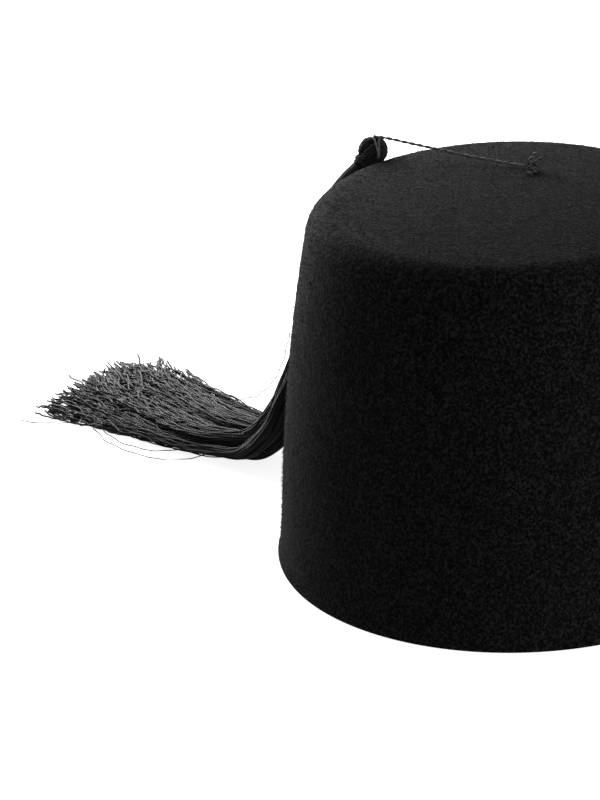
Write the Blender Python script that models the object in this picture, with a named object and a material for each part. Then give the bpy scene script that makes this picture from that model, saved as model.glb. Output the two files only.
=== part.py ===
"""A black felt fez standing on its rim, with a tassel that has slipped over the back left of
the crown, so that its skirt lies on the surface beside the hat.

Metres, +Z up. The origin is the middle of the rim, on the surface that the hat stands on.
The crown is turned about Z. Bearings are degrees about Z, counter-clockwise from +X.
"""

from collections import namedtuple
from math import atan2, cos, exp, pi, radians, sin, sqrt

import bmesh
import bpy
import numpy as np
from mathutils import Matrix, Vector

# Crown: one blocked shell of felt, open below
RIM_RADIUS = 0.0950  # where the straight line of the side meets the surface
TOP_RADIUS = 0.0789  # where that line would meet the top, were the shoulder sharp
CROWN_HEIGHT = 0.1527
DOME_RISE = 0.0048  # the middle of the top over its edge
SHOULDER_RADIUS = 0.0128
SIDE_BOW = 0.0029  # how far the side swells out at half its height
RIM_FLARE = 0.0020  # how far the cut edge kicks out
FLARE_HEIGHT = 0.0080  # height over which the flare dies away
RIM_BREAK = 0.0004  # worn corners of the cut edge
RIM_CORNER = radians(50)  # only corners sharper than this are worn
FELT_WALL = 0.0025
CROWN_SEGMENTS = 72
SIDE_STEPS = 10
SIDE_CROWDING = 1.6  # over 1, the rings of the side stand closer together towards the rim
SHOULDER_STEPS = 6
DOME_STEPS = 3

# Tassel: a bunch of threads folded over the cord, and tied off below a ball
SEAT_GAP = 0.0003  # between pieces that rest on each other
HEAD_RADIUS = 0.0061
HEAD_BEARING = 132.8
HEAD_ANGLE = 47.5  # how far up round the shoulder's arc the head has come to rest
NECK_RADIUS = 0.0031
SKIRT_TOP_RADIUS = 0.0042  # just below the binding
NECK_LIFT = 0.0055  # from the felt to the middle of the neck's lower end
NECK_END_ANGLE = 24.5
NECK_END_BEARING = 136.0
NECK_ROOT = 0.0035  # how far the neck runs on inside the skirt
BINDING_TURNS = 3
BINDING_THREAD = 0.0009  # thickness of the thread wound round the neck
THREAD_SECTION = (-60, -20, 20, 60)  # degrees round the outer half of one turn of it
TURNED_SEGMENTS = 24
HEAD_STEPS = 9

# The skirt's bunch of threads, below the neck and out along the surface
Station = namedtuple("Station", "radius bearing height half_width half_depth")
SKIRT = (
    Station(0.0866, 139.4, 0.1400, 0.0054, 0.0048),
    Station(0.0888, 141.4, 0.1310, 0.0062, 0.0052),
    Station(0.0913, 141.0, 0.1170, 0.0072, 0.0056),
    Station(0.0955, 140.6, 0.1000, 0.0082, 0.0060),
    Station(0.1018, 140.2, 0.0800, 0.0094, 0.0064),
    Station(0.1095, 139.9, 0.0600, 0.0106, 0.0068),
    Station(0.1180, 139.9, 0.0400, 0.0118, 0.0072),
    Station(0.1268, 140.2, 0.0212, 0.0134, 0.0075),
    Station(0.1390, 140.8, 0.0088, 0.0156, 0.0076),
    Station(0.1545, 141.2, 0.0069, 0.0188, 0.0069),
    Station(0.1760, 141.3, 0.0061, 0.0238, 0.0060),
    Station(0.2050, 141.3, 0.0054, 0.0300, 0.0052),
    Station(0.2620, 141.3, 0.0049, 0.0430, 0.0048),
)
SKIRT_RINGS = 21
SPAN_STEPS = 16  # fine points between two stations, before they are spaced evenly

# The skirt's core, and the locks that it parts into. The place across and through the bunch
# runs from -1 to 1, with +1 towards the greater bearing and on top. Length is a part of the
# skirt's, and width and depth are parts of the bunch's half width and half depth.
Lock = namedtuple("Lock", "across through length width depth")
LOCKS = (
    Lock(0.0, 0.0, 0.86, 0.80, 0.60),
    Lock(-0.95, -0.1, 0.93, 0.24, 0.55),
    Lock(-0.7, 0.5, 0.97, 0.24, 0.55),
    Lock(-0.4, 0.7, 0.96, 0.24, 0.55),
    Lock(-0.1, 0.9, 0.99, 0.24, 0.55),
    Lock(0.25, 0.9, 0.96, 0.24, 0.55),
    Lock(0.6, 0.8, 0.98, 0.24, 0.55),
    Lock(1.0, 0.3, 0.95, 0.24, 0.55),
    Lock(-0.8, -0.7, 0.91, 0.24, 0.55),
    Lock(-0.5, -0.8, 0.95, 0.24, 0.55),
    Lock(-0.2, -0.9, 0.97, 0.24, 0.55),
    Lock(0.15, -0.9, 0.99, 0.24, 0.55),
    Lock(0.5, -0.9, 0.96, 0.24, 0.55),
    Lock(0.85, -0.7, 0.98, 0.24, 0.55),
)
LOCK_SIDES = 8
LOCK_TIP = 0.35  # of its full size, at its end
TIP_LENGTH = 0.12  # of the skirt's length
LOCK_START = 0.006  # of that length, below the binding
LOCK_STAGGER = 0.0013  # and this much further for each lock, so that no two start in one plane
LOOK_AHEAD = 0.01  # of that length, each way, to find the way that a lock runs

# Cord: from its knot, behind the middle of the top, to the tassel's head
CORD_DIAMETER = 0.0013
CORD_ROUTE = (
    (0.0079, 0.0274, 0.1530),
    (0.0034, 0.0295, 0.1531),
    (-0.0010, 0.0316, 0.1533),
    (-0.0054, 0.0337, 0.1535),
    (-0.0098, 0.0357, 0.1538),
    (-0.0142, 0.0377, 0.1541),
    (-0.0186, 0.0397, 0.1545),
    (-0.0230, 0.0417, 0.1549),
    (-0.0274, 0.0437, 0.1554),
    (-0.0318, 0.0458, 0.1558),
    (-0.0362, 0.0478, 0.1562),
    (-0.0406, 0.0499, 0.1566),
    (-0.0448, 0.0519, 0.1570),
    (-0.0484, 0.0536, 0.1573),
    (-0.0514, 0.0550, 0.1574),
    (-0.0540, 0.0562, 0.1574),
)
CORD_POINTS = 23
KNOT_PLACE = Vector((0.0101, 0.0263, 0.1537))
KNOT_HALF_SIZE = Vector((0.0022, 0.0018, 0.0014))
FrayedEnd = namedtuple("FrayedEnd", "direction length")
FRAYED_ENDS = (
    FrayedEnd(Vector((0.45, 0.35, 0.82)), 0.0062),
    FrayedEnd(Vector((-0.50, -0.85, 0.05)), 0.0052),
)
FRAY_THICK = 0.0008
FRAY_THIN = 0.0003
FRAY_SIDES = 8
KNOT_SEGMENTS = 14
KNOT_RINGS = 9

FELT_COLOUR = (0.012, 0.012, 0.013)
FELT_ROUGHNESS = 0.95
THREAD_COLOUR = (0.018, 0.018, 0.020)
THREAD_ROUGHNESS = 0.55
SHARP_ANGLE = radians(40)
WELD = 1e-6


def around(radius, bearing, height):
    """The point at this distance from the Z axis, bearing and height."""
    turn = radians(bearing)
    return Vector((radius * cos(turn), radius * sin(turn), height))


def material(name, colour, roughness):
    made = bpy.data.materials.new(name)
    made.use_nodes = True
    shader = made.node_tree.nodes["Principled BSDF"]
    shader.inputs["Base Color"].default_value = (*colour, 1.0)
    shader.inputs["Roughness"].default_value = roughness
    shader.inputs["Metallic"].default_value = 0.0
    return made


def object_from(bm, name, finish):
    """A smooth-shaded object made from a finished bmesh."""
    bmesh.ops.remove_doubles(bm, verts=bm.verts, dist=WELD)
    bmesh.ops.recalc_face_normals(bm, faces=bm.faces)
    mesh = bpy.data.meshes.new(name)
    bm.to_mesh(mesh)
    bm.free()
    mesh.shade_smooth()
    mesh.set_sharp_from_angle(angle=SHARP_ANGLE)
    mesh.materials.append(finish)
    made = bpy.data.objects.new(name, mesh)
    bpy.context.collection.objects.link(made)
    return made


def turned(profile, segments):
    """A half section of (radius, height) points spun about Z."""
    bm = bmesh.new()
    verts = [bm.verts.new((radius, 0, height)) for radius, height in profile]
    edges = [bm.edges.new(pair) for pair in zip(verts, verts[1:])]
    bmesh.ops.spin(
        bm,
        geom=verts + edges,
        cent=(0, 0, 0),
        axis=(0, 0, 1),
        angle=2 * pi,
        steps=segments,
        use_merge=True,
    )
    return bm


def join_to(body, helper):
    """Fuses the helper into the body, and keeps it only as a guide."""
    union = body.modifiers.new(helper.name, "BOOLEAN")
    union.operation = "UNION"
    union.solver = "MANIFOLD"
    union.object = helper
    helper.hide_render = True
    helper.display_type = "WIRE"


def smooth_rows(rows, count):
    """This many rows, evenly spaced on a smooth curve through the given ones.

    A row starts with x, y and z, and may carry further sizes.
    """
    rows = np.array(rows)
    before = 2 * rows[0] - rows[1]
    after = 2 * rows[-1] - rows[-2]
    padded = np.vstack((before, rows, after))
    fine = []
    for p0, p1, p2, p3 in zip(padded, padded[1:], padded[2:], padded[3:]):
        for t in np.linspace(0, 1, SPAN_STEPS, endpoint=False):
            bend = (2 * p0 - 5 * p1 + 4 * p2 - p3) * t**2
            twist = (3 * p1 - p0 - 3 * p2 + p3) * t**3
            fine.append(p1 + 0.5 * ((p2 - p0) * t + bend + twist))
    fine.append(rows[-1])
    fine = np.array(fine)
    steps = np.linalg.norm(np.diff(fine[:, :3], axis=0), axis=1)
    reach = np.concatenate(([0.0], np.cumsum(steps)))
    wanted = np.linspace(0, reach[-1], count)
    return np.stack([np.interp(wanted, reach, column) for column in fine.T], axis=1)


# Crown


def shoulder_centre():
    """Centre of the shoulder's arc, which touches the side's line and the dome's circle.

    Returns it with the side's direction, the side's length up to the arc, and the dome's
    radius, all in the half section.
    """
    dome_radius = (TOP_RADIUS**2 + DOME_RISE**2) / (2 * DOME_RISE)
    dome_centre = Vector((0, CROWN_HEIGHT - dome_radius))
    foot = Vector((RIM_RADIUS, 0))
    side = (Vector((TOP_RADIUS, CROWN_HEIGHT - DOME_RISE)) - foot).normalized()
    outward = Vector((side.y, -side.x))
    start = foot - outward * SHOULDER_RADIUS - dome_centre
    along = start.dot(side)
    beyond = start.length_squared - (dome_radius - SHOULDER_RADIUS) ** 2
    side_length = -along + sqrt(along**2 - beyond)
    centre = dome_centre + start + side * side_length
    return centre, side, side_length, dome_radius


def crown_profile():
    """The outside's half section, from the rim up to the middle of the top."""
    centre, side, side_length, dome_radius = shoulder_centre()
    outward = Vector((side.y, -side.x))
    foot = Vector((RIM_RADIUS, 0))
    points = []
    for step in range(SIDE_STEPS):
        part = (step / SIDE_STEPS) ** SIDE_CROWDING
        swell = SIDE_BOW * 4 * part * (1 - part)
        flare = RIM_FLARE * exp(-part * side_length / FLARE_HEIGHT)
        points.append(foot + side * side_length * part + outward * swell + Vector((flare, 0)))
    dome_centre = Vector((0, CROWN_HEIGHT - dome_radius))
    first = atan2(outward.y, outward.x)
    last = atan2(centre.y - dome_centre.y, centre.x)
    for step in range(SHOULDER_STEPS):
        turn = first + (last - first) * step / SHOULDER_STEPS
        points.append(centre + SHOULDER_RADIUS * Vector((cos(turn), sin(turn))))
    for step in range(DOME_STEPS):
        turn = last + (pi / 2 - last) * step / DOME_STEPS
        points.append(dome_centre + dome_radius * Vector((cos(turn), sin(turn))))
    points.append(Vector((0, CROWN_HEIGHT)))
    return points


def inside_of(outer):
    """The wall's inner half section, a felt's thickness inside the outer one."""
    points = []
    for place, point in enumerate(outer[:-1]):
        along = (outer[place + 1] - outer[max(place - 1, 0)]).normalized()
        points.append(point - FELT_WALL * Vector((along.y, -along.x)))
    points.append(Vector((0, CROWN_HEIGHT - FELT_WALL)))
    # The first point lies below the surface, so the wall is cut level with it
    share = points[0].y / (points[0].y - points[1].y)
    points[0] = points[0].lerp(points[1], share)
    return points


def build_crown(felt):
    outer = crown_profile()
    section = list(reversed(inside_of(outer))) + outer
    crown = object_from(turned(section, CROWN_SEGMENTS), "felt_crown", felt)
    edge = crown.modifiers.new("worn_edge", "BEVEL")
    edge.width = RIM_BREAK
    edge.segments = 1
    edge.limit_method = "ANGLE"
    edge.angle_limit = RIM_CORNER
    return crown


# Tassel


def on_shoulder(angle, lift, bearing):
    """The point over the shoulder's arc at this angle, lifted off the felt."""
    centre = shoulder_centre()[0]
    reach = SHOULDER_RADIUS + lift
    turn = radians(angle)
    return around(centre.x + reach * cos(turn), bearing, centre.y + reach * sin(turn))


def head_centre():
    return on_shoulder(HEAD_ANGLE, HEAD_RADIUS + SEAT_GAP, HEAD_BEARING)


def neck_end():
    return on_shoulder(NECK_END_ANGLE, NECK_LIFT, NECK_END_BEARING)


def set_on_neck(obj):
    """Turns an object's Z axis into the neck's and puts it at the middle of the head."""
    axis = neck_end() - head_centre()
    turn = axis.to_track_quat("Z", "Y").to_matrix().to_4x4()
    obj.matrix_world = Matrix.Translation(head_centre()) @ turn


def build_head(thread):
    """The ball and the neck in one turned piece, about the line from ball to skirt."""
    neck_length = (neck_end() - head_centre()).length
    shoulder = atan2(NECK_RADIUS, sqrt(HEAD_RADIUS**2 - NECK_RADIUS**2))
    profile = []
    for step in range(HEAD_STEPS + 1):
        turn = pi + (shoulder - pi) * step / HEAD_STEPS
        profile.append((HEAD_RADIUS * sin(turn), HEAD_RADIUS * cos(turn)))
    profile[0] = (0, -HEAD_RADIUS)
    profile.append((NECK_RADIUS, neck_length + NECK_ROOT))
    profile.append((0, neck_length + NECK_ROOT))
    head = object_from(turned(profile, TURNED_SEGMENTS), "tassel", thread)
    set_on_neck(head)
    return head


def build_binding(thread):
    """Turns of thread wound side by side round the neck, as one ring."""
    inner = NECK_RADIUS + SEAT_GAP
    width = BINDING_TURNS * BINDING_THREAD
    start = sqrt(HEAD_RADIUS**2 - inner**2) + SEAT_GAP
    profile = [(inner, start)]
    for turn in range(BINDING_TURNS):
        middle = start + (turn + 0.5) * BINDING_THREAD
        for angle in THREAD_SECTION:
            rise = BINDING_THREAD * cos(radians(angle))
            offset = BINDING_THREAD / 2 * sin(radians(angle))
            profile.append((inner + rise, middle + offset))
    profile.append((inner, start + width))
    profile.append((inner, start))
    ring = object_from(turned(profile, TURNED_SEGMENTS), "neck_binding", thread)
    set_on_neck(ring)
    return ring


def skirt_rows():
    """Rows of x, y, z, half width and half depth down the middle of the skirt's bunch."""
    rows = [(*neck_end(), SKIRT_TOP_RADIUS, SKIRT_TOP_RADIUS)]
    for station in SKIRT:
        middle = around(station.radius, station.bearing, station.height)
        rows.append((*middle, station.half_width, station.half_depth))
    return smooth_rows(rows, SKIRT_RINGS)


def build_lock(number, lock, thread):
    """One lock of the skirt: an oval tube that narrows to its end."""
    rows = skirt_rows()
    middles = rows[:, :3]
    reach = np.linspace(0, 1, len(rows))
    bm = bmesh.new()
    rings = []
    start = LOCK_START + LOCK_STAGGER * number
    for part in np.linspace(start, lock.length, SKIRT_RINGS):
        middle = Vector([np.interp(part, reach, column) for column in middles.T])
        half_width, half_depth = [np.interp(part, reach, column) for column in rows[:, 3:].T]
        ahead = min(part + LOOK_AHEAD, 1)
        behind = max(part - LOOK_AHEAD, 0)
        along = Vector(
            [np.interp(ahead, reach, column) - np.interp(behind, reach, column) for column in middles.T]
        ).normalized()
        across = Vector((-middle.y, middle.x, 0)).normalized()
        through = along.cross(across).normalized()
        left = min((lock.length - part) / TIP_LENGTH, 1)
        size = LOCK_TIP + (1 - LOCK_TIP) * sqrt(left)
        wide = lock.width * half_width
        deep = lock.depth * half_depth
        middle += across * lock.across * (half_width - wide)
        middle += through * lock.through * (half_depth - deep)
        ring = []
        for side in range(LOCK_SIDES):
            turn = 2 * pi * side / LOCK_SIDES
            offset = across * wide * cos(turn) + through * deep * sin(turn)
            ring.append(bm.verts.new(middle + offset * size))
        rings.append(ring)
    for ring, following in zip(rings, rings[1:]):
        for side in range(LOCK_SIDES):
            neighbour = (side + 1) % LOCK_SIDES
            bm.faces.new((ring[side], ring[neighbour], following[neighbour], following[side]))
    bm.faces.new(rings[0])
    bm.faces.new(rings[-1])
    return object_from(bm, f"lock_{number}", thread)


def build_tassel(thread):
    tassel = build_head(thread)
    for number, lock in enumerate(LOCKS, 1):
        join_to(tassel, build_lock(number, lock, thread))
    build_binding(thread)


# Cord


def build_cord(thread):
    curve = bpy.data.curves.new("tassel_cord", "CURVE")
    curve.dimensions = "3D"
    curve.bevel_depth = CORD_DIAMETER / 2
    curve.bevel_resolution = 2
    curve.use_fill_caps = True
    spline = curve.splines.new("POLY")
    spline.points.add(CORD_POINTS - 1)
    for point, place in zip(spline.points, smooth_rows(CORD_ROUTE, CORD_POINTS)):
        point.co = (*place, 1)
    curve.materials.append(thread)
    cord = bpy.data.objects.new("tassel_cord", curve)
    bpy.context.collection.objects.link(cord)


def build_knot(thread):
    """The cord's knot, with the two ends that stick out of it and fray."""
    bm = bmesh.new()
    bmesh.ops.create_uvsphere(bm, u_segments=KNOT_SEGMENTS, v_segments=KNOT_RINGS, radius=1.0)
    bmesh.ops.scale(bm, vec=KNOT_HALF_SIZE, verts=bm.verts)
    bmesh.ops.translate(bm, vec=KNOT_PLACE, verts=bm.verts)
    knot = object_from(bm, "cord_knot", thread)
    for number, end in enumerate(FRAYED_ENDS, 1):
        bm = bmesh.new()
        bmesh.ops.create_cone(
            bm,
            cap_ends=True,
            segments=FRAY_SIDES,
            radius1=FRAY_THICK,
            radius2=FRAY_THIN,
            depth=end.length,
        )
        fray = object_from(bm, f"frayed_end_{number}", thread)
        turn = end.direction.to_track_quat("Z", "Y").to_matrix().to_4x4()
        middle = KNOT_PLACE + end.direction.normalized() * end.length / 2
        fray.matrix_world = Matrix.Translation(middle) @ turn
        join_to(knot, fray)


for old in list(bpy.data.objects):
    bpy.data.objects.remove(old, do_unlink=True)
build_crown(material("black_felt", FELT_COLOUR, FELT_ROUGHNESS))
thread_finish = material("black_thread", THREAD_COLOUR, THREAD_ROUGHNESS)
build_tassel(thread_finish)
build_cord(thread_finish)
build_knot(thread_finish)
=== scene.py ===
"""A black felt fez standing on its rim. Its tassel has slipped over the back left of the crown,
and the tassel's threads lie spread on the surface beside the hat.

Metres, +Z up. Bearings are degrees about Z, counter-clockwise from +X.
"""

from collections import namedtuple
from math import atan2, cos, exp, pi, radians, sin, sqrt

import bpy
import numpy as np
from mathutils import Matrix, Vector


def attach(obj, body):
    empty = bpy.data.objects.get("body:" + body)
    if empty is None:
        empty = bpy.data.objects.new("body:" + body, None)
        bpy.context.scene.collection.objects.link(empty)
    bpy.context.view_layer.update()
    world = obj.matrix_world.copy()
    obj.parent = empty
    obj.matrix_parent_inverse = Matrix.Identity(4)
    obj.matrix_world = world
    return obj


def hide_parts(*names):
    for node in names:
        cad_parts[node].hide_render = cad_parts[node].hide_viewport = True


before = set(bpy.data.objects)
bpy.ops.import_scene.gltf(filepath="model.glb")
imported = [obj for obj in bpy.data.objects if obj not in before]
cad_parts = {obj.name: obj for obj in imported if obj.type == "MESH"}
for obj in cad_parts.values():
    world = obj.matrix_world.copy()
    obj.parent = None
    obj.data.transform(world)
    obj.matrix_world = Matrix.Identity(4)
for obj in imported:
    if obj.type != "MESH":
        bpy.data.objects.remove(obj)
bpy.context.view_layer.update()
bpy.ops.object.select_all(action="DESELECT")


# Camera
# The hat is seen from about 1.3 m away and 24 degrees above its middle, through a long lens. It
# stands right of the middle, so that its right edge is out of the picture.

CAMERA_PLACE = (0, -1.1856, 0.5844)
CAMERA_TURN = (66.379, 2.538, 3.001)  # degrees about X, Y and Z
CAMERA_LENS = 144.46

bpy.ops.object.camera_add(location=CAMERA_PLACE, rotation=[radians(a) for a in CAMERA_TURN])
camera = bpy.context.object
camera.data.lens = CAMERA_LENS
bpy.context.scene.camera = camera


# Cord
# A thin cord of two twisted threads runs from its knot, behind the middle of the top, over the
# edge of the top to the tassel, which hangs in its loop. It lies taut, just over the felt.

CORD_DIAMETER = 0.0013
CORD_TWIST = 0.0070  # length of one full turn of the two threads
CORD_PLY = 0.26  # radius of each of the two, as a share of the cord's diameter
CORD_FIBRE_TWIST = 0.0021  # length of one full turn of a thread's own fibres
# One of the two plies is painted darker: painted shade along the twist.
CORD_TONES = (1.1, 0.6)  # how light each of the two is
CORD_ROUTE = (
    (0.0079, 0.0274, 0.1530),
    (0.0034, 0.0295, 0.1531),
    (-0.0010, 0.0316, 0.1533),
    (-0.0054, 0.0337, 0.1535),
    (-0.0098, 0.0357, 0.1538),
    (-0.0142, 0.0377, 0.1541),
    (-0.0186, 0.0397, 0.1545),
    (-0.0230, 0.0417, 0.1549),
    (-0.0274, 0.0437, 0.1554),
    (-0.0318, 0.0458, 0.1558),
    (-0.0362, 0.0478, 0.1562),
    (-0.0406, 0.0499, 0.1566),
    (-0.0448, 0.0519, 0.1570),
    (-0.0484, 0.0536, 0.1573),
    (-0.0514, 0.0550, 0.1574),
    (-0.0540, 0.0562, 0.1574),
)
LINE_SPACING = 0.0004  # between two places on the line of a cord
THREAD_DARK = (0.003, 0.003, 0.004, 1)
THREAD_LIGHT = (0.064, 0.063, 0.069, 1)
# Painted highlight: the cord's threads get a far lighter colour than the skirt's, for the light
# they catch.
CORD_PAINTED_HIGHLIGHT = (0.300, 0.298, 0.310, 1)
THREAD_RELIEF = 0.00012


def unit(rows):
    """Rows of vectors, each made one long."""
    return rows / np.linalg.norm(rows, axis=-1, keepdims=True)


def smooth_line(points, spacing):
    """A smooth curve through the points, as rows this far apart.

    Rows may carry more than x, y and z.
    """
    points = np.array(points, float)
    padded = np.vstack((2 * points[0] - points[1], points, 2 * points[-1] - points[-2]))
    fine = []
    for p0, p1, p2, p3 in zip(padded, padded[1:], padded[2:], padded[3:]):
        for t in np.linspace(0, 1, 24, endpoint=False):
            bend = (2 * p0 - 5 * p1 + 4 * p2 - p3) * t**2
            twist = (3 * p1 - p0 - 3 * p2 + p3) * t**3
            fine.append(p1 + 0.5 * ((p2 - p0) * t + bend + twist))
    fine = np.array([*fine, points[-1]])
    steps = np.linalg.norm(np.diff(fine[:, :3], axis=0), axis=1)
    reach = np.concatenate(([0.0], np.cumsum(steps)))
    wanted = np.linspace(0, reach[-1], max(4, round(reach[-1] / spacing) + 1))
    return np.stack([np.interp(wanted, reach, column) for column in fine.T], axis=1)


def frames_along(line):
    """The way that a line runs at each point, and two directions square to it that don't spin."""
    along = unit(np.gradient(line, axis=0))
    first = np.cross(along[0], (0.3, 0.2, 0.9))
    square = [first / np.linalg.norm(first)]
    for way in along[1:]:
        turned = square[-1] - way * (square[-1] @ way)
        square.append(turned / np.linalg.norm(turned))
    square = np.array(square)
    return along, square, np.cross(along, square)


def turns_along(line, pitch):
    """How many turns of a twist have gone by at each point of a line."""
    run = np.linalg.norm(np.diff(line, axis=0), axis=1)
    return np.concatenate(([0.0], np.cumsum(run))) / pitch


def wind_plies(line, diameter, pitch):
    """The lines of the two threads that are twisted together round this one."""
    _, side, lift = frames_along(line)
    wound = []
    for lead in (0, 0.5):
        angle = (2 * pi * (turns_along(line, pitch) + lead))[:, None]
        wound.append(line + diameter / 4 * (side * np.cos(angle) + lift * np.sin(angle)))
    return wound


def spin_threads(name, lines, radii, sides, pitch, tones):
    """Round threads along these lines, as one mesh, each closed at both ends.

    Its UV map runs in turns of the twist along a thread, and once round it. The attribute
    "tone" says how light each thread is, as one number or one for each place on its line.
    """
    places, faces, winding, tone = [], [], [], []
    for line, radius, shade in zip(lines, radii, tones):
        radius = np.broadcast_to(radius, len(line))
        _, side, lift = frames_along(line)
        start = len(places)
        for k, (middle, size) in enumerate(zip(line, radius)):
            for s in range(sides):
                turn = 2 * pi * s / sides
                places.append(middle + size * (side[k] * cos(turn) + lift[k] * sin(turn)))
        turns = turns_along(line, pitch)
        for k in range(len(line) - 1):
            near, far = start + k * sides, start + (k + 1) * sides
            for s in range(sides):
                after = (s + 1) % sides
                faces.append((near + s, near + after, far + after, far + s))
                left, right = s / sides, (s + 1) / sides
                winding += (turns[k], left, turns[k], right)
                winding += (turns[k + 1], right, turns[k + 1], left)
        faces.append(tuple(range(start + sides - 1, start - 1, -1)))
        faces.append(tuple(start + (len(line) - 1) * sides + s for s in range(sides)))
        winding += (turns[0], 0.5) * sides + (turns[-1], 0.5) * sides
        tone += np.repeat(np.broadcast_to(shade, len(line)), sides).tolist()
    mesh = bpy.data.meshes.new(name)
    mesh.from_pydata(places, [], faces)
    mesh.uv_layers.new(name="winding").data.foreach_set("uv", winding)
    mesh.attributes.new("tone", "FLOAT", "POINT").data.foreach_set("value", tone)
    mesh.shade_smooth()
    made = bpy.data.objects.new(name, mesh)
    bpy.context.scene.collection.objects.link(made)
    return made


class Signal:
    """A socket of a material. Sums on it are written as plain sums, and add Math nodes."""

    def __init__(self, tree, socket=None):
        self.tree = tree
        self.socket = socket

    def node(self, kind, settings=None, sockets=None, output=0):
        """Adds a node: its settings first, then a value or a link for each of its sockets."""
        made = self.tree.nodes.new("ShaderNode" + kind)
        for name, value in (settings or {}).items():
            setattr(made, name, value)
        for name, value in (sockets or {}).items():
            if isinstance(value, Signal):
                self.tree.links.new(value.socket, made.inputs[name])
            else:
                made.inputs[name].default_value = value
        return Signal(self.tree, made.outputs[output])

    def maths(self, operation, *terms):
        return self.node("Math", {"operation": operation}, dict(enumerate(terms)))

    def __add__(self, other):
        return self.maths("ADD", self, other)

    def __radd__(self, other):
        return self.maths("ADD", other, self)

    def __sub__(self, other):
        return self.maths("SUBTRACT", self, other)

    def __rsub__(self, other):
        return self.maths("SUBTRACT", other, self)

    def __mul__(self, other):
        return self.maths("MULTIPLY", self, other)

    def __rmul__(self, other):
        return self.maths("MULTIPLY", other, self)

    def __pow__(self, other):
        return self.maths("POWER", self, other)

    def __rpow__(self, other):
        return self.maths("POWER", other, self)

    def __abs__(self):
        return self.maths("ABSOLUTE", self)

    def ramp(self, low, high):
        """0 where this is under low, 1 where it is over high, and smooth between."""
        return self.node(
            "MapRange",
            {"interpolation_type": "SMOOTHSTEP"},
            {"Value": self, "From Min": low, "From Max": high},
        )

    def tint(self, dark, light):
        """From the dark colour where this is 0 to the light one where it is 1."""
        return self.node("Mix", {"data_type": "RGBA"}, {0: self, 6: dark, 7: light}, output=2)

    def noise(self, where, scale, detail=3.0, roughness=0.55):
        return self.node(
            "TexNoise",
            None,
            {"Vector": where, "Scale": scale, "Detail": detail, "Roughness": roughness},
        )


def new_material(name):
    """A material, a start for its nodes, and its shader."""
    made = bpy.data.materials.new(name)
    made.use_nodes = True
    return made, Signal(made.node_tree), made.node_tree.nodes["Principled BSDF"]


def dyed_thread_with_painted_shade(name, plies, light):
    """Black rayon thread: twisted plies of fine parallel fibres, with a soft silky shine."""
    made, graph, shader = new_material(name)
    winding = graph.node("UVMap", {"uv_map": "winding"})
    turns = graph.node("SeparateXYZ", None, {"Vector": winding})
    around = graph.node("SeparateXYZ", None, {"Vector": winding}, output=1)
    tone = graph.node("Attribute", {"attribute_name": "tone"}, output=2)
    lay = (turns + around) * plies
    half_turns = lay * pi
    ply = abs(half_turns.maths("SINE", half_turns))
    along_fibre = graph.node(
        "CombineXYZ", None, {"X": turns * 0.8, "Y": lay * 9.0, "Z": tone * 40.0}
    )
    fibre = graph.noise(along_fibre, 1.0, 2.0)
    height = ply**0.6 + fibre * 0.35
    # Painted shade: the colour darkens in the grooves between the plies. The fibres and each
    # thread's tone vary it too.
    wear_and_ply_shade = (ply * 0.55 + fibre * 0.45) * tone
    colour = wear_and_ply_shade.tint(THREAD_DARK, light)
    rough = 0.74 - ply * 0.14 + (fibre - 0.5) * 0.12
    bump = graph.node(
        "Bump", None, {"Strength": 0.75, "Distance": THREAD_RELIEF, "Height": height}
    )
    graph.tree.links.new(colour.socket, shader.inputs["Base Color"])
    graph.tree.links.new(rough.socket, shader.inputs["Roughness"])
    graph.tree.links.new(bump.socket, shader.inputs["Normal"])
    shader.inputs["Specular IOR Level"].default_value = 0.30
    shader.inputs["Sheen Weight"].default_value = 0.05
    shader.inputs["Sheen Roughness"].default_value = 0.4
    return made


cord_line = smooth_line(CORD_ROUTE, LINE_SPACING)
cord = spin_threads(
    "twisted_cord",
    wind_plies(cord_line, CORD_DIAMETER, CORD_TWIST),
    [CORD_DIAMETER * CORD_PLY] * 2,
    sides=10,
    pitch=CORD_FIBRE_TWIST,
    tones=CORD_TONES,
)
cord_thread = dyed_thread_with_painted_shade("cord_thread", plies=3, light=CORD_PAINTED_HIGHLIGHT)
cord.data.materials.append(cord_thread)
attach(cord, "root")
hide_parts("tassel_cord")


# Cord's knot
# The cord comes up through the felt and is knotted over it, behind the middle of the top. Its
# cut ends stand out of the knot, and have come apart into loose fibres.

KNOT_PLACE = np.array((0.0101, 0.0263, 0.1537))
KNOT_HALF_SIZE = np.array((0.0021, 0.0019, 0.0017))
KNOT_THREAD = 0.00150
KNOT_TWIST = 0.0042
KNOT_PLY = 0.29
# The knot's two plies are painted nearly black: painted shade.
KNOT_TONES = (0.05, 0.35)
KNOT_FIBRE_TWIST = 0.0018
FELT_UNDER_KNOT = 0.1527  # nothing of the knot goes below this height
# The way of each frayed end, from the knot's middle
FRAYED_ENDS = (
    ((0, 0, 0), (-0.0010, 0.0006, 0.0018), (0.0002, 0.0016, 0.0036), (0.0017, 0.0022, 0.0046)),
    ((0, 0, 0), (0.0014, 0.0006, 0.0014), (0.0028, 0.0010, 0.0020), (0.0040, 0.0018, 0.0028)),
    (
        (0, 0, 0),
        (0.0020, -0.0016, 0.0004),
        (-0.0006, -0.0034, -0.0002),
        (0.0016, -0.0050, -0.0005),
        (-0.0004, -0.0068, -0.0006),
        (-0.0026, -0.0080, -0.0007),
    ),
    ((0, 0, 0), (-0.0004, -0.0016, 0.0006), (-0.0020, -0.0030, -0.0004)),
)
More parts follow.
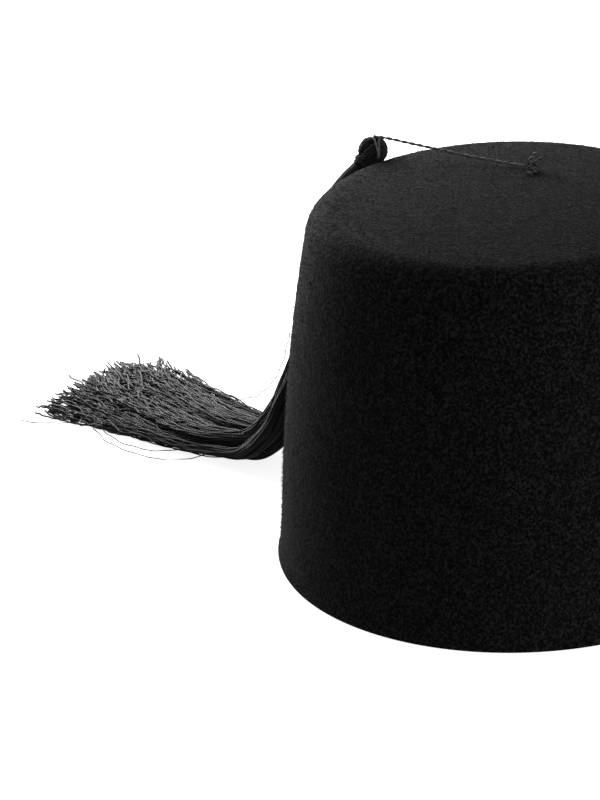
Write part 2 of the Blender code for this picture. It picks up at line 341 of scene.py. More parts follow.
# Each frayed end has a light ply and one painted nearly black: painted shade along its twist.
END_TONES = ((1.2, 0.05), (0.45, 0.05), (0.8, 0.05), (0.6, 0.1))
END_THREAD = 0.00110
END_TWIST = 0.0026
END_PLY = 0.28
END_SPACING = 0.0003
FIBRE_COUNT = 6  # loose fibres at each end
FIBRE_DIAMETER = 0.00014
FIBRE_SHORTEST, FIBRE_LONGEST = 0.0006, 0.0014
FIBRE_SPREAD = 0.45
FIBRE_CURL = 0.0004
FIBRE_TONE = 0.3

dice = np.random.default_rng(7)
turn = np.linspace(0, 2 * pi, 91)
trefoil = np.stack(
    (
        np.sin(turn) + 2 * np.sin(2 * turn),
        np.cos(turn) - 2 * np.cos(2 * turn),
        -np.sin(3 * turn),
    ),
    axis=1,
)
half_size = KNOT_HALF_SIZE - KNOT_THREAD / 2
trefoil = KNOT_PLACE + trefoil / np.abs(trefoil).max(axis=0) * half_size
knot_lines = wind_plies(smooth_line(trefoil, LINE_SPACING), KNOT_THREAD, KNOT_TWIST)
knot_radii = [KNOT_THREAD * KNOT_PLY] * 2
knot_tones = [*KNOT_TONES]
fibre_steps = np.linspace(0, 1, 8)[:, None]
for route, ply_tones in zip(FRAYED_ENDS, END_TONES):
    end_line = smooth_line(KNOT_PLACE + np.array(route), END_SPACING)
    knot_lines += wind_plies(end_line, END_THREAD, END_TWIST)
    knot_radii += [END_THREAD * END_PLY] * 2
    knot_tones += ply_tones
    tip_way = unit(end_line[-1] - end_line[-5])
    for _ in range(FIBRE_COUNT):
        fibre_way = unit(tip_way + dice.normal(0, FIBRE_SPREAD, 3))
        fibre_way *= dice.uniform(FIBRE_SHORTEST, FIBRE_LONGEST)
        curl = dice.normal(0, FIBRE_CURL, 3) * np.sin(fibre_steps * pi)
        knot_lines.append(end_line[-2] + fibre_way * fibre_steps + curl)
        knot_radii.append(FIBRE_DIAMETER / 2)
        knot_tones.append(FIBRE_TONE)
for line in knot_lines:
    line[:, 2] = np.maximum(line[:, 2], FELT_UNDER_KNOT)
knot = spin_threads(
    "cord_end_knot",
    knot_lines,
    knot_radii,
    sides=6,
    pitch=KNOT_FIBRE_TWIST,
    tones=knot_tones,
)
knot.data.materials.append(cord_thread)
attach(knot, "root")
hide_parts("cord_knot")


# Crown
# One shell of wool felt, blocked to a tapered side, a round shoulder and a slightly domed top,
# about 2.5 mm thick. The lower edge is cut raw, and kicks out a little where it stands.

RIM_RADIUS = 0.0950
TOP_RADIUS = 0.0789
CROWN_HEIGHT = 0.1527
DOME_RISE = 0.0048
SHOULDER_RADIUS = 0.0128
SIDE_BOW = 0.0029
RIM_FLARE = 0.0020
FLARE_HEIGHT = 0.0080
FELT_WALL = 0.0025
RIM_ROUND = 0.0005  # worn corners of the cut edge
WORN_CORNER = (180, 202, 225, 248, 270)  # bearings of the places on one of them
SIDE_CROWDING = 1.6  # the side's rings lie closer together towards the flared edge
CROWN_SEGMENTS = 192
SIDE_STEPS = 48
SHOULDER_STEPS = 20
DOME_STEPS = 26
FELT_DARK = (0.0010, 0.0010, 0.0011, 1)
FELT_LIGHT = (0.0440, 0.0440, 0.0445, 1)
FELT_RELIEF = 0.0012
# How fine the felt's patterns are, as scales of noise over metres
MATTED_FIBRES = 860.0
FINE_FIBRES = 1900.0
CLUMPS = 260.0
CLOUDS = 38.0


def crown_section():
    """The outside's half section as (radius, height) rows, from the rim to the top's middle."""
    dome_radius = (TOP_RADIUS**2 + DOME_RISE**2) / (2 * DOME_RISE)
    dome_centre = Vector((0, CROWN_HEIGHT - dome_radius))
    foot = Vector((RIM_RADIUS, 0))
    side = (Vector((TOP_RADIUS, CROWN_HEIGHT - DOME_RISE)) - foot).normalized()
    outward = Vector((side.y, -side.x))
    start = foot - outward * SHOULDER_RADIUS - dome_centre
    beyond = start.length_squared - (dome_radius - SHOULDER_RADIUS) ** 2
    side_length = -start.dot(side) + sqrt(start.dot(side) ** 2 - beyond)
    centre = dome_centre + start + side * side_length
    rows = []
    for step in range(SIDE_STEPS):
        part = (step / SIDE_STEPS) ** SIDE_CROWDING
        swell = SIDE_BOW * 4 * part * (1 - part)
        flare = RIM_FLARE * exp(-part * side_length / FLARE_HEIGHT)
        rows.append(foot + side * side_length * part + outward * swell + Vector((flare, 0)))
    first = atan2(outward.y, outward.x)
    last = atan2(centre.y - dome_centre.y, centre.x)
    for step in range(SHOULDER_STEPS):
        turn = first + (last - first) * step / SHOULDER_STEPS
        rows.append(centre + SHOULDER_RADIUS * Vector((cos(turn), sin(turn))))
    for step in range(DOME_STEPS):
        turn = last + (pi / 2 - last) * step / DOME_STEPS
        rows.append(dome_centre + dome_radius * Vector((cos(turn), sin(turn))))
    rows.append(Vector((0, CROWN_HEIGHT)))
    return np.array(rows)


crown_outside = crown_section()
section_way = unit(np.gradient(crown_outside, axis=0))
section_out = np.stack((section_way[:, 1], -section_way[:, 0]), axis=1)
crown_inside = crown_outside - FELT_WALL * section_out
crown_inside[-1] = (0, CROWN_HEIGHT - FELT_WALL)
outer = crown_outside[crown_outside[:, 1] > 1.5 * RIM_ROUND]
inner = crown_inside[crown_inside[:, 1] > 1.5 * RIM_ROUND]
rim_outer = crown_outside[0, 0]
rim_inner = crown_inside[0, 0]
wear_and_ply_shade = [(cos(a), sin(a)) for a in np.radians(WORN_CORNER)]
edge = [(rim_inner + RIM_ROUND * (1 + x), RIM_ROUND * (1 + z)) for x, z in wear_and_ply_shade]
edge += [(rim_outer - RIM_ROUND * (1 + x), RIM_ROUND * (1 + z)) for x, z in reversed(wear_and_ply_shade)]
section = [(radius, 0, height) for radius, height in (*inner[::-1], *edge, *outer)]
mesh = bpy.data.meshes.new("felt_shell")
mesh.from_pydata(section, [(k, k + 1) for k in range(len(section) - 1)], [])
shell = bpy.data.objects.new("felt_shell", mesh)
bpy.context.scene.collection.objects.link(shell)
shell.select_set(True)
bpy.context.view_layer.objects.active = shell
bpy.ops.object.mode_set(mode="EDIT")
bpy.ops.mesh.select_all(action="SELECT")
bpy.ops.mesh.spin(steps=CROWN_SEGMENTS, angle=2 * pi, center=(0, 0, 0), axis=(0, 0, 1))
bpy.ops.mesh.select_all(action="SELECT")
bpy.ops.mesh.remove_doubles(threshold=1e-6)
bpy.ops.mesh.normals_make_consistent(inside=False)
bpy.ops.object.mode_set(mode="OBJECT")
bpy.ops.object.shade_smooth()


def wool_felt(name):
    """Pressed wool: short fibres matted at random, with a few that catch the light."""
    made, graph, shader = new_material(name)
    place = graph.node("TexCoord", output=3)
    matted = graph.noise(place, MATTED_FIBRES, 2.0, 0.6)
    fine = graph.noise(place, FINE_FIBRES, 2.0, 0.7)
    clumps = graph.noise(place, CLUMPS)
    cloudy = graph.noise(place, CLOUDS, 2.0)
    specks = matted.ramp(0.45, 0.62) * 0.60 + fine.ramp(0.50, 0.64) * 0.40
    tone = specks * (0.60 + clumps.ramp(0.36, 0.66) * 0.40) + (cloudy - 0.5) * 0.10
    colour = tone.tint(FELT_DARK, FELT_LIGHT)
    height = matted * 0.8 + clumps * 0.4 + fine * 0.3
    bump = graph.node("Bump", None, {"Strength": 1.0, "Distance": FELT_RELIEF, "Height": height})
    rough = 0.98 - specks * 0.12
    graph.tree.links.new(colour.socket, shader.inputs["Base Color"])
    graph.tree.links.new(rough.socket, shader.inputs["Roughness"])
    graph.tree.links.new(bump.socket, shader.inputs["Normal"])
    shader.inputs["Specular IOR Level"].default_value = 0.06
    shader.inputs["Sheen Weight"].default_value = 0.05
    shader.inputs["Sheen Roughness"].default_value = 0.5
    return made


felt = wool_felt("pressed_wool_felt")
shell.data.materials.append(felt)
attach(shell, "root")
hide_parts("felt_crown")
bpy.ops.object.select_all(action="DESELECT")


# Crown's nap
# Short ends of wool stand out of the felt all over, and soften its outline. They are what the
# brush has drawn out of its surface after blocking.

NAP_COUNT = 50000
NAP_LENGTH = 0.0011
NAP_UNEVEN = (0.5, 1.3)  # shortest and longest of them, as shares of that length
NAP_WIDTH = 0.00028
NAP_DEPTH = 0.0001  # how deep they are rooted
NAP_STAND = 0.55  # how much they point straight out of the felt, where 1 is as much as at random
NAP_LEAST = 0.15  # the least that each of them does
NAP_COLOUR = (0.030, 0.030, 0.031, 1)

dice = np.random.default_rng(3)
middle = (outer[1:] + outer[:-1]) / 2
step = np.diff(outer, axis=0)
area = np.linalg.norm(step, axis=1) * middle[:, 0]
pick = dice.choice(len(middle), NAP_COUNT, p=area / area.sum())
radius, height = (middle[pick] + step[pick] * dice.uniform(-0.5, 0.5, (NAP_COUNT, 1))).T
turn = dice.uniform(0, 2 * pi, NAP_COUNT)
slope = unit(step[pick])
foot = np.stack((radius * np.cos(turn), radius * np.sin(turn), height), axis=1)
out = np.stack((slope[:, 1] * np.cos(turn), slope[:, 1] * np.sin(turn), -slope[:, 0]), axis=1)
hair = unit(NAP_STAND * out + unit(dice.normal(0, 1, (NAP_COUNT, 3))))
hair += np.clip(NAP_LEAST - (hair * out).sum(axis=1), 0, None)[:, None] * out
side = unit(np.cross(hair, dice.normal(0, 1, (NAP_COUNT, 3))))
other = unit(np.cross(hair, side))
corners = [
    foot - NAP_DEPTH * out + NAP_WIDTH / 2 * (side * cos(a) + other * sin(a))
    for a in (0, 2 * pi / 3, 4 * pi / 3)
]
tips = foot + hair * NAP_LENGTH * dice.uniform(*NAP_UNEVEN, (NAP_COUNT, 1))
places = np.stack((*corners, tips), axis=1).reshape(-1, 3)
start = 4 * np.arange(NAP_COUNT)[:, None]
faces = np.concatenate([start + corner for corner in ((0, 1, 3), (1, 2, 3), (2, 0, 3))])
mesh = bpy.data.meshes.new("felt_nap")
mesh.from_pydata(places.tolist(), [], faces.tolist())
nap = bpy.data.objects.new("felt_nap", mesh)
bpy.context.scene.collection.objects.link(nap)
wool, _, shader = new_material("loose_wool")
shader.inputs["Base Color"].default_value = NAP_COLOUR
shader.inputs["Roughness"].default_value = 0.8
shader.inputs["Specular IOR Level"].default_value = 0.2
nap.data.materials.append(wool)
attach(nap, "root")


# Tassel's skirt
# Four hundred twisted rayon threads hang from the neck in loose locks, down the back left of the
# crown, and spread out where they reach the surface. There the upper ones sweep over the lower
# ones to the back, and are wavy towards their cut ends.

THREAD_COUNT = 400
THREAD_DIAMETER = 0.00072
THREAD_TWIST = 0.0028
THREAD_SIDES = 4
RING_SPACING = 0.0016
NECK_SQUEEZE = 0.38  # how thin the threads are pressed at the neck
SQUEEZED_PART = 0.32  # of the skirt's length, over which they come to their full thickness
END_SWELL = 1.28  # how much thicker they are where their twist has come loose
HEAD_CENTRE = np.array((-0.05455, 0.05891, 0.15025))
NECK_START = 0.0050  # where the skirt's threads start in the ball, below its middle
NECK_END = np.array((-0.06040, 0.05833, 0.14399))
# Near is the half width towards the greater bearing, which is nearer to the camera
NECK_HALF_SIZES = ((0.0024, 0.0024, 0.0024), (0.0029, 0.0029, 0.0027))  # near, far and depth
Station = namedtuple("Station", "radius bearing height near far depth")
SKIRT = (
    Station(0.0858, 139.4, 0.1394, 0.0038, 0.0038, 0.0032),
    Station(0.0891, 141.2, 0.1310, 0.0054, 0.0054, 0.0043),
    Station(0.0915, 141.0, 0.1170, 0.0066, 0.0066, 0.0050),
    Station(0.0955, 140.6, 0.1000, 0.0078, 0.0078, 0.0057),
    Station(0.1018, 140.2, 0.0800, 0.0090, 0.0090, 0.0061),
    Station(0.1095, 139.9, 0.0600, 0.0102, 0.0102, 0.0065),
    Station(0.1180, 139.9, 0.0400, 0.0125, 0.0115, 0.0069),
    Station(0.1268, 140.2, 0.0212, 0.0155, 0.0130, 0.0072),
    Station(0.1390, 140.8, 0.0088, 0.0185, 0.0152, 0.0074),
    Station(0.1545, 141.2, 0.0069, 0.0200, 0.0185, 0.0068),
    Station(0.1760, 141.3, 0.0061, 0.0220, 0.0220, 0.0060),
    Station(0.2050, 141.4, 0.0054, 0.0242, 0.0265, 0.0052),
    Station(0.2720, 141.6, 0.0049, 0.0320, 0.0385, 0.0048),
)
LOCK_COUNT = 26
LOCK_PULL = 0.50  # how far the threads are drawn to the middle of their lock
LOCK_RELEASE = 0.35  # how far they come away from it again near their ends
# The waves of single threads: their numbers over the skirt's length, how far they go across and
# through the bunch, and the parts of its length between which they come in
Waves = namedtuple("Waves", "counts across through start end")
THREAD_WAVES = (
    Waves((3, 5, 7), 0.0012, 0.0005, 0.58, 0.95),
    Waves((10, 14, 20), 0.0006, 0.0004, 0.55, 0.85),
    Waves((30, 44, 58), 0.00036, 0.00032, 0.60, 0.88),
)
SWEEP = 0.068  # how far the upper threads' ends have turned away to the back
TUFT_SHIFT = 0.004
TUFT_LIFT = 0.0036
EDGE_DROP = 0.0022  # how much lower the near edge of the spread threads lies than their middle
SETTLING_ROUNDS = 14
SETTLING_PUSH = 0.35  # share of an overlap that each of two threads gives way in a round
FELT_CLEARANCE = 0.0003
THREAD_LENGTH = 0.281
LENGTH_SPREAD = 0.0024
FRAYED_STEPS = 8  # places at the end of a thread over which it leaves the others
FRAYED_SPREAD = 0.0008


def polar(radius, bearing, height):
    turn = radians(bearing)
    return radius * cos(turn), radius * sin(turn), height


dice = np.random.default_rng(12)
neck_way = unit(NECK_END - HEAD_CENTRE)
neck_start = HEAD_CENTRE + neck_way * NECK_START
rows = [(*neck_start, *NECK_HALF_SIZES[0]), (*NECK_END, *NECK_HALF_SIZES[1])]
for station in SKIRT:
    place = polar(station.radius, station.bearing, station.height)
    rows.append((*place, station.near, station.far, station.depth))
bunch = smooth_line(rows, RING_SPACING)
middles = bunch[:, :3]
near, far, depth = bunch[:, 3:].T
ring_count = len(bunch)
run = np.linspace(0, 1, ring_count)
along = unit(np.gradient(middles, axis=0))
across = unit(np.stack((-middles[:, 1], middles[:, 0], 0 * run), axis=1))
through = unit(np.cross(along, across))


def evenly_spread(count):
    """Places spread evenly in a circle of radius one: across and through the bunch."""
    order = np.arange(count)
    turn = order * pi * (3 - sqrt(5))
    return np.sqrt((order[:, None] + 0.5) / count) * np.stack((np.cos(turn), np.sin(turn)), axis=1)


home = evenly_spread(THREAD_COUNT) + dice.normal(0, 0.02, (THREAD_COUNT, 2))
nearness, topness = home.T
locks = evenly_spread(LOCK_COUNT) * 0.95


def wander(count, waves, spread):
    """Smooth random curves down the skirt, one for each row, that start at nothing.

    The waves are the numbers of waves over the skirt's length.
    """
    total = np.zeros((count, ring_count))
    for wave in waves:
        phase = dice.uniform(0, 2 * pi, (count, 1))
        size = dice.normal(0, spread / len(waves) ** 0.5, (count, 1))
        pace = wave * dice.uniform(0.75, 1.25, (count, 1))
        total += size * (np.sin(2 * pi * pace * run + phase) - np.sin(phase))
    return total


def wander_both(count, waves, across_spread, through_spread):
    return np.stack((wander(count, waves, across_spread), wander(count, waves, through_spread)), 2)


def fade_in(start, end):
    """0 above this part of the skirt's length and 1 below that one, smooth between."""
    part = np.clip((run - start) / (end - start), 0, 1)
    return (part * part * (3 - 2 * part))[None, :, None]


# Each thread keeps its place in the bunch, is drawn into the nearest lock, and wanders a little
lock_of = np.argmin(np.linalg.norm(home[:, None] - locks, axis=2), axis=1)
lock_pull = locks[lock_of][:, None, :] - home[:, None, :]
lock_drift = wander_both(LOCK_COUNT, (1, 2, 3.5), 0.06, 0.10)[lock_of]
own_drift = wander_both(THREAD_COUNT, (2, 4, 7), 0.04, 0.08)
drawn = LOCK_PULL * fade_in(0.10, 0.40) - LOCK_RELEASE * fade_in(0.74, 0.95)
spot = home[:, None, :] + lock_pull * drawn
spot = spot + (lock_drift + own_drift) * fade_in(0.10, 0.60)
width = np.where(spot[..., 0] > 0, near, far)
offset = np.stack((spot[..., 0] * width, spot[..., 1] * depth), axis=2)
offset[..., 1] -= EDGE_DROP * spot[..., 0] * fade_in(0.54, 0.64)[..., 0]
# From where they lie down, the upper and the nearer ones sweep furthest over to the back
turning = dice.uniform(0.56, 0.60, LOCK_COUNT)[lock_of] + dice.uniform(0, 0.04, THREAD_COUNT)
share = np.clip((run[None] - turning[:, None]) / (1 - turning[:, None]), 0, 1)
upper = np.clip(0.32 + 0.74 * topness, 0, 1)
lock_sweep = dice.uniform(0.85, 1.15, LOCK_COUNT)[lock_of] * dice.uniform(0.9, 1.1, THREAD_COUNT)
sweep = SWEEP * upper * np.clip(0.90 + 0.85 * nearness, 0.10, 1) * lock_sweep
offset[..., 0] -= sweep[:, None] * share ** (1.55 + 0.35 * nearness)[:, None]
for waves in THREAD_WAVES:
    wavy = wander_both(THREAD_COUNT, waves.counts, waves.across, waves.through)
    offset += wavy * fade_in(waves.start, waves.end)
tuft = (nearness < -0.50) & (topness > 0.25)  # the upper threads of the far edge, which curl up
offset[tuft, :, 0] -= TUFT_SHIFT * share[tuft] ** 3
offset[tuft, :, 1] += TUFT_LIFT * dice.uniform(0.2, 1.6, tuft.sum())[:, None] * share[tuft] ** 2

# The threads of each ring push each other apart until they lie side by side, over the surface
thickness = NECK_SQUEEZE + (1 - NECK_SQUEEZE) * np.clip(run / SQUEEZED_PART, 0, 1)
thickness = THREAD_DIAMETER * thickness
thickness *= 1 + (END_SWELL - 1) * fade_in(0.60, 0.82)[0, :, 0]
floor_lift = np.clip(through[:, 2], 0, 1)
moved = np.zeros_like(offset)
for _ in range(SETTLING_ROUNDS):
    for ring in range(ring_count):
        flat = offset[:, ring] + moved[:, ring]
        gap = flat[:, None] - flat[None]
        apart = np.hypot(gap[..., 0], gap[..., 1]) + 1e-9
        push = np.clip(thickness[ring] - apart, 0, None)
        np.fill_diagonal(push, 0)
        flat += SETTLING_PUSH * (gap / apart[..., None] * push[..., None]).sum(axis=1)
        if floor_lift[ring] > 0.3:
            lowest = (THREAD_DIAMETER / 2 - middles[ring, 2]) / floor_lift[ring]
            flat[:, 1] = np.maximum(flat[:, 1], lowest)
        moved[:, ring] = flat - offset[:, ring]
    padded = np.pad(moved, ((0, 0), (1, 1), (0, 0)), mode="edge")
    moved = 0.5 * moved + 0.25 * (padded[:, :-2] + padded[:, 2:])
offset = offset + moved

# They stay outside the felt and above the surface
threads = middles[None] + across[None] * offset[..., :1] + through[None] * offset[..., 1:]
felt_radius = np.interp(threads[..., 2], crown_outside[:, 1], crown_outside[:, 0], right=0.0)
from_axis = np.hypot(threads[..., 0], threads[..., 1])
clear = np.maximum((felt_radius + FELT_CLEARANCE + THREAD_DIAMETER / 2) / from_axis, 1.0)
threads[..., :2] *= clear[..., None]
threads[..., 2] = np.maximum(threads[..., 2], THREAD_DIAMETER / 2)

# They are cut a little unevenly, and those of the far upper edge look shorter, for they curl
grown = np.linalg.norm(np.diff(threads, axis=1), axis=2).cumsum(axis=1)
far_top = np.clip(0.4 - nearness, 0, 0.8) * np.clip(0.3 + 0.9 * topness, 0, 1)
cut = THREAD_LENGTH - 0.11 * sweep + dice.normal(0, LENGTH_SPREAD, THREAD_COUNT)
cut = cut - 0.046 * far_top - 0.018 * tuft
kept = np.clip((grown < cut[:, None]).sum(axis=1), 40, ring_count - 1)
for thread, count in zip(threads, kept):
    past = np.arange(ring_count) - (count - FRAYED_STEPS)
    frayed = np.clip(past, 0, FRAYED_STEPS)[:, None] / FRAYED_STEPS
    thread += dice.normal(0, FRAYED_SPREAD, 3) * frayed**2
threads[..., 2] = np.maximum(threads[..., 2], THREAD_DIAMETER / 2)

# Their falling part is painted darker than the spread one: painted shade
tones = 1 - 0.75 * (fade_in(0.10, 0.28) - fade_in(0.40, 0.53))[..., 0]
tones = tones * dice.uniform(0.5, 1.3, (THREAD_COUNT, 1))
skirt_thread = dyed_thread_with_painted_shade("skirt_thread", plies=2, light=THREAD_LIGHT)
layers = np.argsort(home[:, 1])
for number, group in enumerate(np.array_split(layers, 4), 1):
    skirt = spin_threads(
        f"skirt_threads_{number}",
        [threads[i, : kept[i]] for i in group],
        [thickness[: kept[i]] / 2 for i in group],
        sides=THREAD_SIDES,
        pitch=THREAD_TWIST,
        tones=[tones[i, : kept[i]] for i in group],
    )
    skirt.data.materials.append(skirt_thread)
    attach(skirt, "root")
    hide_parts("tassel")


# Tassel's head
# The same threads are folded over the cord, and tied off below to a ball. A loop of the cord
# goes over the ball and in between them.

HEAD_RADIUS = 0.0064
HEAD_FLAT = 0.0046  # the ball is pressed flatter above this, where the cord goes over it
HEAD_PRESS = 0.62  # share of what is above it that is pressed away
HEAD_THREADS = 32
# A thread in a groove is painted dark: painted shade.
HEAD_BUNCH = 4  # one thread in so many lies in a groove, and is dark
HEAD_THREAD = 0.00130
HEAD_TWIST = 0.0034
HEAD_PLY = 0.26
HEAD_FIBRE_TWIST = 0.0016
HEAD_SWIRL = 0.30
HEAD_GROOVE = 0.0011
HEAD_SHADED = 14  # places on a thread's line over which it is shaded by the neck
NECK_HALF_ANGLE = 0.46  # radians at the ball's middle, where the threads go into the neck
NECK_STEPS = (0.0012, 0.0024, 0.0036)  # from there down the neck
CORD_WAY = (-0.90, 0.42, 0.05)  # in which the cord comes over the ball
LOOP_CORD = 0.00085
LOOP_TWIST = 0.0044
LOOP_PLY = 0.27
LOOP_FIBRE_TWIST = 0.0018
# The loop's two runs down the front of the ball are painted lighter: painted highlight.
LOOP_TONES = (0.8, 0.7, 1.9, 1.8, 1.5, 1.3)
LOOP_SINKS = 0.86  # how far from the ball's middle a loop's end is, as a share of its radius
# Where the loop of the cord lies on the ball: to the right, up, and towards the camera
LOOP_ROUTES = (
    (
        (0.70, 0.80, 0.05),
        (0.30, 0.98, -0.02),
        (-0.10, 1.00, -0.05),
        (-0.40, 0.90, -0.04),
        (-0.60, 0.78, -0.02),
    ),
    (
        (0.00, 1.00, 0.10),
        (0.02, 0.84, 0.60),
        (0.10, 0.58, 0.84),
        (0.18, 0.28, 0.97),
        (0.26, -0.04, 0.99),
        (0.32, -0.36, 0.90),
        (0.30, -0.58, 0.74),
    ),
    (
        (0.50, 0.90, 0.10),
        (0.42, 0.78, 0.54),
        (0.38, 0.52, 0.82),
        (0.36, 0.22, 0.94),
        (0.38, -0.10, 0.96),
        (0.36, -0.40, 0.88),
        (0.30, -0.62, 0.72),
    ),
)

view = np.array(camera.matrix_world.to_3x3())


def flat_topped(places):
    """Places round the ball's middle, let down where they are above the flat of the ball."""
    above = np.clip(places @ view[:, 1] - HEAD_FLAT, 0, None)
    return places - HEAD_PRESS * above[..., None] * view[:, 1]


cord_way = unit(np.array(CORD_WAY))
first = unit(np.cross(neck_way, cord_way))
second = np.cross(neck_way, first)
head_lines, head_radii, head_tones = [], [], []
neck_angle = pi - NECK_HALF_ANGLE
for number in range(HEAD_THREADS):
    turn = 2 * pi * number / HEAD_THREADS
    sideways = first * cos(turn) + second * sin(turn)
    top = unit(-neck_way + 0.42 * cord_way * (sideways @ cord_way) + 0.10 * sideways)
    turned = turn + HEAD_SWIRL + dice.normal(0, 0.06)
    low = first * cos(turned) + second * sin(turned)
    bottom = -neck_way * cos(neck_angle) + low * sin(neck_angle)
    angle = np.arccos(np.clip(top @ bottom, -1, 1))
    in_groove = number % HEAD_BUNCH == 0
    sunk = HEAD_GROOVE if in_groove else dice.uniform(0, 0.0003)
    part = np.linspace(0, 1, 44)[:, None]
    rays = (top * np.sin((1 - part) * angle) + bottom * np.sin(part * angle)) / sin(angle)
    on_ball = flat_topped(rays * (HEAD_RADIUS - HEAD_THREAD / 2 - sunk * np.sin(part * pi)))
    neck = on_ball[-1] + neck_way * np.array(NECK_STEPS)[:, None]
    line = smooth_line(HEAD_CENTRE + np.concatenate((on_ball, neck)), LINE_SPACING)
    head_lines += wind_plies(line, HEAD_THREAD, HEAD_TWIST)
    head_radii += [HEAD_THREAD * HEAD_PLY] * 2
    # Painted shade: threads in a groove are made dark, and every thread darkens towards the neck.
    tone = 0.05 if in_groove else dice.uniform(0.2, 1.2)
    head_tones += [tone * np.clip(np.arange(len(line), 0, -1) / HEAD_SHADED, 0.08, 1)] * 2
head = spin_threads(
    "tassel_head",
    head_lines,
    head_radii,
    sides=6,
    pitch=HEAD_FIBRE_TWIST,
    tones=head_tones,
)
head.data.materials.append(skirt_thread)
bpy.ops.mesh.primitive_uv_sphere_add(
    segments=32,
    ring_count=16,
    radius=HEAD_RADIUS - HEAD_THREAD - HEAD_GROOVE * 0.6,
    location=HEAD_CENTRE,
)
core = bpy.context.object
bpy.ops.object.shade_smooth()
for vertex in core.data.vertices:
    vertex.co = flat_topped(np.array(vertex.co))
core.data.materials.append(skirt_thread)
core.data.uv_layers[0].name = "winding"
head.select_set(True)
bpy.context.view_layer.objects.active = head
bpy.ops.object.join()
bpy.ops.object.select_all(action="DESELECT")
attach(head, "root")
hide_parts("tassel")

loop_lines = []
for route in LOOP_ROUTES:
    on_ball = unit(np.array(route)) * (HEAD_RADIUS + LOOP_CORD * 0.25)
    on_ball[-1] *= LOOP_SINKS
    line = smooth_line(HEAD_CENTRE + flat_topped(on_ball @ view.T), LINE_SPACING)
    loop_lines += wind_plies(line, LOOP_CORD, LOOP_TWIST)
head_loop = spin_threads(
    "cord_loop",
    loop_lines,
    [LOOP_CORD * LOOP_PLY] * len(loop_lines),
    sides=8,
    pitch=LOOP_FIBRE_TWIST,
    tones=LOOP_TONES,
)
head_loop.data.materials.append(cord_thread)
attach(head_loop, "root")


# Neck's binding
# The same rayon thread is wound tightly round the neck, two turns side by side. It ties the
# head off and holds the skirt's threads together.

BINDING_THREAD = 0.00070
BINDING_TWIST = 0.0022
BINDING_PLY = 0.29
BINDING_FIBRE_TWIST = 0.0016
# The binding is painted lighter than the head's threads: painted highlight.
BINDING_TONES = (1.9, 1.7)
BINDING_RADIUS = 0.0036
BINDING_TURNS = 2.1
BINDING_START = 0.0054  # below the middle of the ball
BINDING_RISE = 1.25  # from one turn to the next, in widths of the thread

wound = np.linspace(0, BINDING_TURNS, 120)
angle = (2 * pi * wound)[:, None]
below = (BINDING_START + wound * BINDING_THREAD * BINDING_RISE)[:, None]
coil = HEAD_CENTRE + neck_way * below
coil = coil + BINDING_RADIUS * (first * np.cos(angle) + second * np.sin(angle))
binding = spin_threads(
    "neck_winding",
    wind_plies(coil, BINDING_THREAD, BINDING_TWIST),
    [BINDING_THREAD * BINDING_PLY] * 2,
    sides=8,
    pitch=BINDING_FIBRE_TWIST,
    tones=BINDING_TONES,
)
binding.data.materials.append(skirt_thread)
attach(binding, "root")
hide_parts("neck_binding")


# Stray threads
# A few single fibres have come loose from the skirt. Two hang from the falling part over to
# the spread one, and others lie on the surface in front of it.

STRAY_THREAD = 0.00042
STRAY_SPACING = 0.0008
STRAY_WAVE = 0.0130  # length of one wave along a fibre
STRAY_SWAY = 0.0003
STRAY_LIFT = 0.0002
STRAY_FIBRE_TWIST = 0.0018
STRAY_TONE = 0.9
# Radius, bearing and height of places on each of them
STRAY_ROUTES = (
    (
        (0.1265, 138.2, 0.0600),
        (0.1330, 137.2, 0.0460),
        (0.1430, 136.0, 0.0320),
        (0.1550, 135.2, 0.0210),
        (0.1680, 134.8, 0.0140),
        (0.1780, 134.6, 0.0105),
    ),
    (
        (0.1690, 136.0, 0.0080),
        (0.1780, 135.2, 0.0095),
        (0.1860, 134.7, 0.0095),
        (0.1950, 134.3, 0.0095),
        (0.2060, 134.0, 0.0090),
        (0.2170, 133.9, 0.0080),
    ),
    (
        (0.2300, 146.2, 0.0030),
        (0.2220, 147.2, 0.0004),
        (0.2100, 149.2, 0.0003),
        (0.1990, 150.2, 0.0003),
        (0.1850, 150.8, 0.0003),
        (0.1740, 150.3, 0.0003),
        (0.1640, 148.5, 0.0010),
        (0.1560, 146.0, 0.0030),
    ),
    (
        (0.2230, 146.4, 0.0030),
        (0.2140, 147.5, 0.0004),
        (0.2010, 148.8, 0.0003),
        (0.1870, 148.9, 0.0003),
        (0.1770, 148.0, 0.0010),
        (0.1690, 146.4, 0.0030),
    ),
    (
        (0.2300, 147.0, 0.0020),
        (0.2420, 148.2, 0.0003),
        (0.2500, 149.0, 0.0003),
        (0.2580, 149.4, 0.0003),
    ),
)

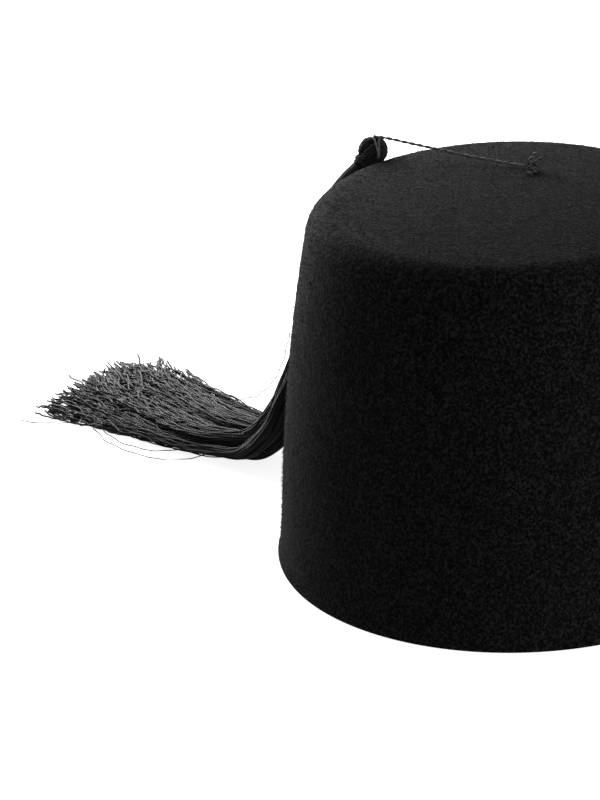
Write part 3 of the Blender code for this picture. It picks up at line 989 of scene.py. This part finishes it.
stray_lines = []
for route in STRAY_ROUTES:
    line = smooth_line([polar(*place) for place in route], STRAY_SPACING)
    wave = np.arange(len(line)) * STRAY_SPACING / STRAY_WAVE
    line[:, 0] += STRAY_SWAY * np.sin(2 * pi * wave)
    line[:, 2] += STRAY_LIFT * np.cos(2 * pi * wave * 0.83)
    line[:, 2] = np.maximum(line[:, 2], STRAY_THREAD / 2)
    stray_lines.append(line)
stray_count = len(stray_lines)
strays = spin_threads(
    "stray_threads",
    stray_lines,
    [STRAY_THREAD / 2] * stray_count,
    sides=5,
    pitch=STRAY_FIBRE_TWIST,
    tones=[STRAY_TONE] * stray_count,
)
strays.data.materials.append(skirt_thread)
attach(strays, "root")


# Surface and light
# A white surface in a pale room. It throws no light back on the hat, whose side is nearly black,
# and washes out shadows. A low soft lamp close behind the left lights the left edge of the felt
# and the threads, and a weaker one at the right keeps the front of the side from going black.

SURFACE_WIDTH = 60
SURFACE_COLOUR = (0.92, 0.92, 0.92, 1)
SURFACE_GLOW = 0.86
ROOM_LIGHT = 0.24
LAMP_AIM = (0, 0, 0.1)
Lamp = namedtuple("Lamp", "place width power")
LAMPS = (
    Lamp((-0.314, 0.502, 0.250), 0.45, 7.2),
    Lamp((1.20, -0.35, 0.25), 0.6, 6),
)

bpy.ops.mesh.primitive_plane_add(size=SURFACE_WIDTH)
ground = bpy.context.object
ground.name = "white_surface"
white, _, shader = new_material("white_card")
shader.inputs["Base Color"].default_value = SURFACE_COLOUR
shader.inputs["Roughness"].default_value = 0.9
shader.inputs["Emission Color"].default_value = (1, 1, 1, 1)
shader.inputs["Emission Strength"].default_value = SURFACE_GLOW
ground.data.materials.append(white)
ground.visible_diffuse = False
ground.visible_glossy = False

world = bpy.data.worlds.new("studio")
world.use_nodes = True
world.node_tree.nodes["Background"].inputs["Color"].default_value = (1, 1, 1, 1)
world.node_tree.nodes["Background"].inputs["Strength"].default_value = ROOM_LIGHT
bpy.context.scene.world = world
bpy.context.scene.view_settings.view_transform = "Standard"

for place, width, power in LAMPS:
    bpy.ops.object.light_add(type="AREA", location=place)
    lamp = bpy.context.object
    lamp.data.size = width
    lamp.data.energy = power
    lamp.visible_camera = False
    lamp.rotation_euler = (Vector(LAMP_AIM) - lamp.location).to_track_quat("-Z", "Y").to_euler()
